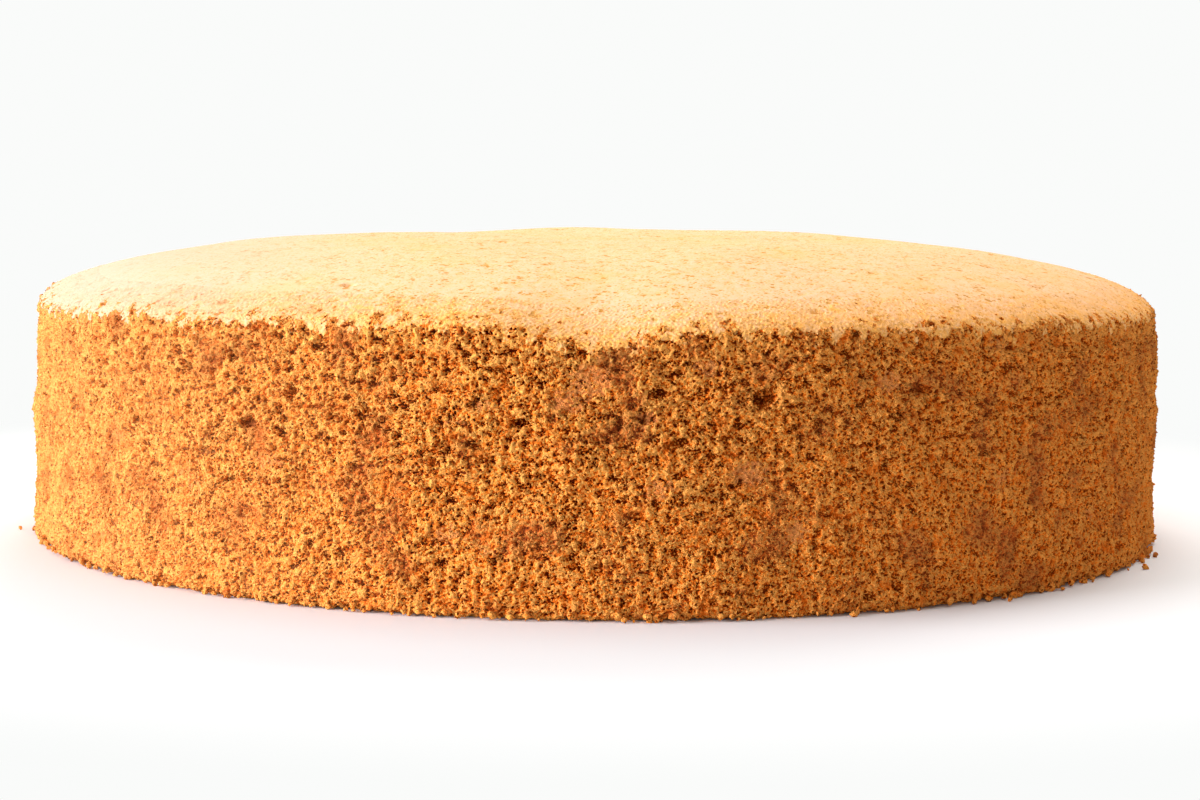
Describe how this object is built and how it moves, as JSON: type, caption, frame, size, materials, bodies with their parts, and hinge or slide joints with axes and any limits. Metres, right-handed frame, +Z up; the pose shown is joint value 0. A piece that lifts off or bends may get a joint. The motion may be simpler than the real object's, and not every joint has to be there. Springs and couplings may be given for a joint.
{
  "type": "chocolate sponge cake",
  "caption": "Plain round chocolate sponge cake: a pale baked top with a rounded shoulder over a torn, open-crumbed side, standing on a flat base.",
  "frame": {"origin": "middle of the base, on the surface that the cake stands on", "axes": "+Z up through the middle of the cake; -Y towards the front, where the top's skin hangs lowest; +X to the right seen from the front"},
  "size_m": [0.2206, 0.2198, 0.0572],
  "materials": {
    "crumb": "dry open crumb, matt, light orange-brown with dark pores"
  },
  "bodies": {
    "root": {"sponge": "crumb"}
  },
  "joints": []
}
